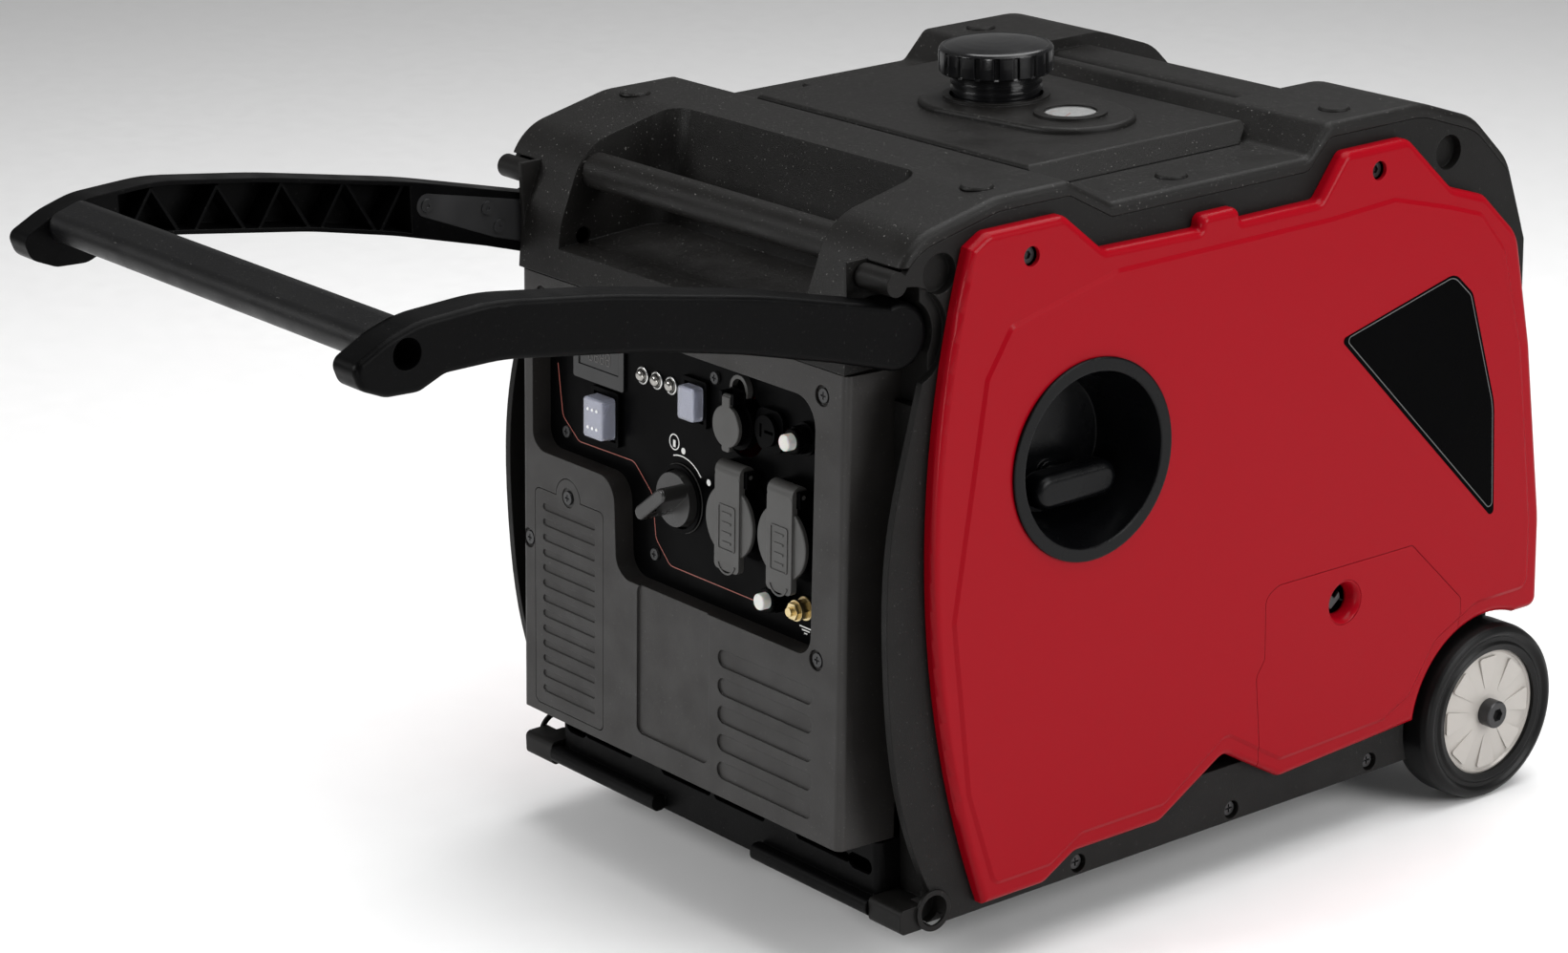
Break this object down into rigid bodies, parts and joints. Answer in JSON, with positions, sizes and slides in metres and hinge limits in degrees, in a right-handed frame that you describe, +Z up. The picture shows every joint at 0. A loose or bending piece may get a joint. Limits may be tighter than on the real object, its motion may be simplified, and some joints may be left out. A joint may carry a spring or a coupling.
{
  "type": "inverter generator",
  "caption": "Closed inverter generator with painted side covers, folding tow handle, rear wheels, recoil starter, control panel with sockets, and fuel cap on top.",
  "frame": {"origin": "on the ground, in the middle of the whole length and width with the tow handle raised", "axes": "+Z up, +Y towards the wheels at the rear, the control panel faces -Y, +X to the side with the recoil starter"},
  "size_m": [0.464, 0.9763, 0.553],
  "materials": {
    "shell_black": "fine grained moulded plastic",
    "cover_red": "metallic red gloss",
    "panel_grey": "satin",
    "control_black": "satin",
    "switch_red": "gloss",
    "boot_clear": "clear flexible cover",
    "display": "gloss window",
    "lamp": "translucent",
    "socket_black": "satin",
    "lid_grey": "satin",
    "rubber": "matte",
    "tyre": "matte",
    "disc_grey": "silver grey satin",
    "steel": "zinc plated",
    "steel_dark": "black coated",
    "alloy": "cast",
    "brass": "plain",
    "iron": "raw",
    "lens": "clear"
  },
  "bodies": {
    "generator": {"base_tray": "shell_black", "side_frame_right": "shell_black", "side_frame_left": "shell_black", "top_cover": "shell_black", "tank_deck": "shell_black", "front_panel": "panel_grey", "control_plate": "control_black", "side_cover_right": "cover_red", "side_cover_left": "cover_red", "recoil_bowl": "shell_black", "service_door": "panel_grey", "rear_panel": "shell_black", "grab_bar": "shell_black", "trim_plugs": "shell_black", "housing_screws": "steel_dark", "battery": "control_black", "front_feet": "rubber", "handle_pivots": "steel", "axle": "steel", "hub_bolts": "steel", "fuel_tank": "shell_black", "fuel_neck": "shell_black", "gauge_lens": "lens", "switch_housings": "control_black", "display_window": "display", "indicator_lamps": "lamp", "schuko_sockets": "socket_black", "dc_outlets": "socket_black", "breaker_bodies": "socket_black", "ground_terminal": "brass", "engine": "alloy", "alternator_stator": "iron", "inverter_module": "alloy", "muffler": "steel", "air_filter_box": "control_black"},
    "handle": {"handle_arm_right": "shell_black", "handle_arm_left": "shell_black", "handle_crossbar": "rubber", "handle_brackets": "steel", "bracket_screws": "steel"},
    "wheel_right": {"wheel_disc_right": "disc_grey", "tyre_right": "tyre"},
    "wheel_left": {"wheel_disc_left": "disc_grey", "tyre_left": "tyre"},
    "cap_carrier": {"cap_gasket": "rubber"},
    "cap": {"fuel_cap": "shell_black"},
    "start_switch": {"start_rocker": "switch_red", "start_boot": "boot_clear"},
    "eco_switch": {"eco_rocker": "switch_red", "eco_boot": "boot_clear"},
    "dial": {"fuel_dial": "switch_red"},
    "lid_left": {"schuko_lid_left": "lid_grey"},
    "lid_right": {"schuko_lid_right": "lid_grey"},
    "outlet_flap": {"outlet_cap": "rubber"},
    "dc_button": {"dc_breaker_button": "socket_black"},
    "ac_button": {"ac_breaker_button": "socket_black"},
    "door": {"maintenance_door": "cover_red"},
    "grip": {"recoil_grip": "rubber"},
    "pulley": {"recoil_pulley": "control_black"},
    "rotor": {"rotor": "alloy"}
  },
  "joints": [
    {"name": "handle_fold", "type": "hinge", "parent": "generator", "child": "handle", "pos_m": [0, -0.096, 0.439], "axis": [1, 0, 0], "range_deg": [0, 93.5]},
    {"name": "wheel_right_spin", "type": "hinge", "parent": "generator", "child": "wheel_right", "pos_m": [0.208, 0.4243, 0.0647], "axis": [1, 0, 0], "continuous": true},
    {"name": "wheel_left_spin", "type": "hinge", "parent": "generator", "child": "wheel_left", "pos_m": [-0.208, 0.4243, 0.0647], "axis": [1, 0, 0], "continuous": true},
    {"name": "cap_lift", "type": "slide", "parent": "generator", "child": "cap_carrier", "axis": [0, 0, 1], "range_m": [0, 0.08]},
    {"name": "cap_turn", "type": "hinge", "parent": "cap_carrier", "child": "cap", "pos_m": [-0.012, 0.169, 0.54], "axis": [0, 0, 1], "range_deg": [0, 360]},
    {"name": "start_tilt", "type": "hinge", "parent": "generator", "child": "start_switch", "pos_m": [-0.096, -0.11013, 0.32202], "axis": [1, 0, 0], "range_deg": [-7, 7], "stiffness_Nm_per_rad": 0.4},
    {"name": "eco_tilt", "type": "hinge", "parent": "generator", "child": "eco_switch", "pos_m": [0.004, -0.10871, 0.35452], "axis": [1, 0, 0], "range_deg": [0, 12]},
    {"name": "dial_turn", "type": "hinge", "parent": "generator", "child": "dial", "pos_m": [-0.013, -0.11277, 0.28456], "axis": [0, -0.999, 0.0436], "range_deg": [-72, 53]},
    {"name": "lid_left_hinge", "type": "hinge", "parent": "generator", "child": "lid_left", "pos_m": [0.0582, -0.11616, 0.32138], "axis": [-1, 0, 0], "range_deg": [0, 100], "stiffness_Nm_per_rad": 0.02, "springref_deg": -17.19},
    {"name": "lid_right_hinge", "type": "hinge", "parent": "generator", "child": "lid_right", "pos_m": [0.1132, -0.11616, 0.32138], "axis": [-1, 0, 0], "range_deg": [0, 100], "stiffness_Nm_per_rad": 0.02, "springref_deg": -17.19},
    {"name": "outlet_cap_hinge", "type": "hinge", "parent": "generator", "child": "outlet_flap", "pos_m": [0.054, -0.1163, 0.37088], "axis": [-1, 0, 0], "range_deg": [0, 90]},
    {"name": "dc_button_push", "type": "slide", "parent": "generator", "child": "dc_button", "axis": [0, 0.999, -0.0436], "range_m": [0, 0.003], "stiffness_N_per_m": 400, "springref_m": -0.001},
    {"name": "ac_button_push", "type": "slide", "parent": "generator", "child": "ac_button", "axis": [0, 0.999, -0.0436], "range_m": [0, 0.003], "stiffness_N_per_m": 400, "springref_m": -0.001},
    {"name": "door_off", "type": "slide", "parent": "generator", "child": "door", "axis": [1, 0, 0], "range_m": [0, 0.08]},
    {"name": "grip_pull", "type": "slide", "parent": "generator", "child": "grip", "axis": [1, 0, 0], "range_m": [0, 0.5], "stiffness_N_per_m": 30, "springref_m": -0.1},
    {"name": "pulley_turn", "type": "hinge", "parent": "generator", "child": "pulley", "pos_m": [0, 0.046, 0.29], "axis": [0, 1, 0], "range_deg": [0, 720]},
    {"name": "rotor_spin", "type": "hinge", "parent": "generator", "child": "rotor", "pos_m": [0, 0.169, 0.29], "axis": [0, 1, 0], "continuous": true}
  ],
  "couplings": [
    {"joint": "pulley_turn", "follows": "grip_pull", "rad_per_m": 25}
  ]
}
